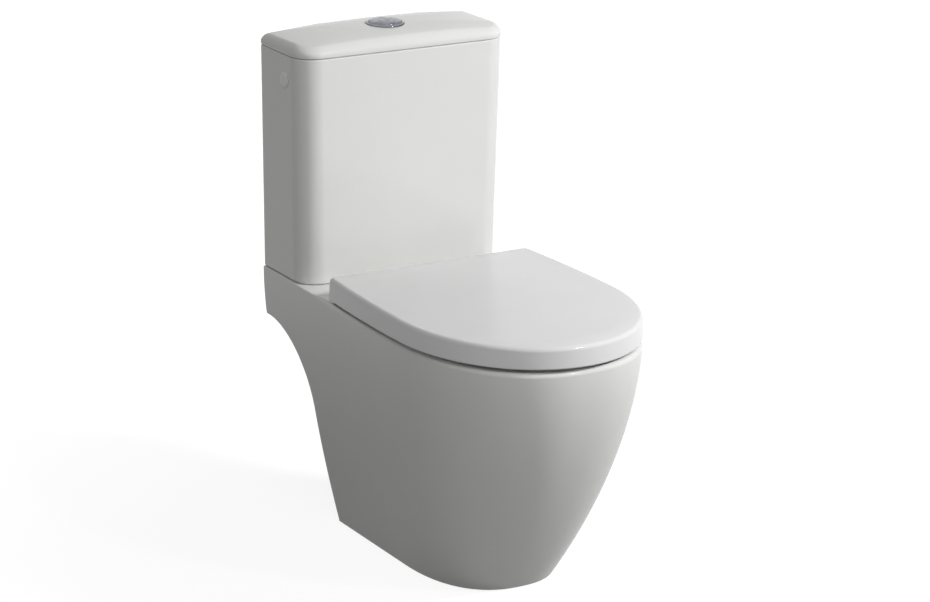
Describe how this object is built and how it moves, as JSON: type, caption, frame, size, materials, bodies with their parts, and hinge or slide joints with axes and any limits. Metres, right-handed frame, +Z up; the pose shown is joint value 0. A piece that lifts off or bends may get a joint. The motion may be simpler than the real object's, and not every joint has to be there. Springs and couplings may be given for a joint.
{
  "type": "close coupled toilet",
  "caption": "Floor standing toilet pan with a close coupled cistern on its rear ledge, a hinged seat and lid, and a dual flush push button.",
  "frame": {"origin": "on the floor, under the centre of the toilet's bounding box", "axes": "+Z up, -Y towards the user at the front of the seat, +Y towards the wall, +X towards the water inlet side, which is the right of a viewer who faces the toilet"},
  "size_m": [0.3735, 0.665, 0.7738],
  "materials": {
    "vitreous_china": "gloss",
    "seat_plastic": "gloss",
    "chrome_plate": "polished",
    "plated_plastic": "polished",
    "stainless_steel": "satin",
    "brass": "satin",
    "white_valve_plastic": "satin",
    "blue_valve_plastic": "satin",
    "grey_valve_plastic": "satin",
    "black_rubber": "matte",
    "pale_rubber": "matte"
  },
  "bodies": {
    "base": {"pan": "vitreous_china", "cistern": "vitreous_china", "cistern_lid": "vitreous_china", "hinge_post_left": "chrome_plate", "hinge_post_right": "chrome_plate", "hinge_pin_left": "stainless_steel", "hinge_pin_right": "stainless_steel", "hinge_bolt_left": "stainless_steel", "hinge_bolt_right": "stainless_steel", "hinge_gasket_left": "black_rubber", "hinge_gasket_right": "black_rubber", "hinge_wing_nut_left": "white_valve_plastic", "hinge_wing_nut_right": "white_valve_plastic", "button_bezel": "chrome_plate", "button_nut": "white_valve_plastic", "button_spring_full": "stainless_steel", "button_spring_half": "stainless_steel", "flush_valve_washer": "black_rubber", "flush_valve_base": "white_valve_plastic", "outlet_back_nut": "white_valve_plastic", "coupling_gasket": "black_rubber", "flush_valve_cage": "grey_valve_plastic", "rocker_axle": "stainless_steel", "cistern_bolt_left": "brass", "cistern_bolt_right": "brass", "cistern_bolt_washer_left": "black_rubber", "cistern_bolt_washer_right": "black_rubber", "cistern_wing_nut_left": "brass", "cistern_wing_nut_right": "brass", "fill_valve_body": "white_valve_plastic", "float_arm_pin": "stainless_steel", "inlet_washer": "black_rubber", "inlet_lock_nut": "white_valve_plastic", "blanking_plug": "pale_rubber", "blanking_plug_nut": "white_valve_plastic"},
    "lid": {"seat_lid": "seat_plastic", "lid_bumper_left": "pale_rubber", "lid_bumper_right": "pale_rubber"},
    "ring": {"seat_ring": "seat_plastic", "ring_bumper_front_left": "pale_rubber", "ring_bumper_front_right": "pale_rubber", "ring_bumper_rear_left": "pale_rubber", "ring_bumper_rear_right": "pale_rubber"},
    "full_button": {"button_full": "plated_plastic", "push_rod_full": "white_valve_plastic"},
    "half_button": {"button_half": "plated_plastic", "push_rod_half": "white_valve_plastic"},
    "full_rocker": {"rocker_full": "grey_valve_plastic"},
    "half_rocker": {"rocker_half": "grey_valve_plastic"},
    "flush_lift": {"overflow_tube": "blue_valve_plastic", "flush_seal": "black_rubber"},
    "float": {"fill_float": "grey_valve_plastic"},
    "arm": {"float_arm": "blue_valve_plastic"}
  },
  "joints": [
    {"name": "lid_hinge", "type": "hinge", "parent": "base", "child": "lid", "pos_m": [0, 0.1055, 0.413], "axis": [-1, 0, 0], "range_deg": [0, 98]},
    {"name": "ring_hinge", "type": "hinge", "parent": "base", "child": "ring", "pos_m": [0, 0.1055, 0.413], "axis": [-1, 0, 0], "range_deg": [0, 93]},
    {"name": "full_flush_press", "type": "slide", "parent": "base", "child": "full_button", "axis": [0, 0, -1], "range_m": [0, 0.006], "stiffness_N_per_m": 800, "springref_m": -0.003, "deforming": ["button_spring_full"]},
    {"name": "half_flush_press", "type": "slide", "parent": "base", "child": "half_button", "axis": [0, 0, -1], "range_m": [0, 0.006], "stiffness_N_per_m": 800, "springref_m": -0.003, "deforming": ["button_spring_half"]},
    {"name": "full_rocker_tip", "type": "hinge", "parent": "base", "child": "full_rocker", "pos_m": [0, 0.259, 0.7], "axis": [1, 0, 0], "range_deg": [0, 38]},
    {"name": "half_rocker_tip", "type": "hinge", "parent": "base", "child": "half_rocker", "pos_m": [0, 0.259, 0.7], "axis": [1, 0, 0], "range_deg": [0, 38]},
    {"name": "flush_seal_lift", "type": "slide", "parent": "base", "child": "flush_lift", "axis": [0, 0, 1], "range_m": [0, 0.0085]},
    {"name": "float_rise", "type": "slide", "parent": "base", "child": "float", "axis": [0, 0, 1], "range_m": [0, 0.014]},
    {"name": "float_arm_tip", "type": "hinge", "parent": "base", "child": "arm", "pos_m": [0.14667, 0.2515, 0.72], "axis": [0, 1, 0], "range_deg": [0, 17.3]}
  ],
  "couplings": [
    {"joint": "ring_hinge", "follows": "lid_hinge", "ratio": 0.94},
    {"joint": "full_rocker_tip", "follows": "full_flush_press", "rad_per_m": 110},
    {"joint": "half_rocker_tip", "follows": "half_flush_press", "rad_per_m": 110},
    {"joint": "flush_seal_lift", "follows": "full_flush_press", "ratio": 1.4},
    {"joint": "float_arm_tip", "follows": "float_rise", "rad_per_m": 21.4}
  ]
}
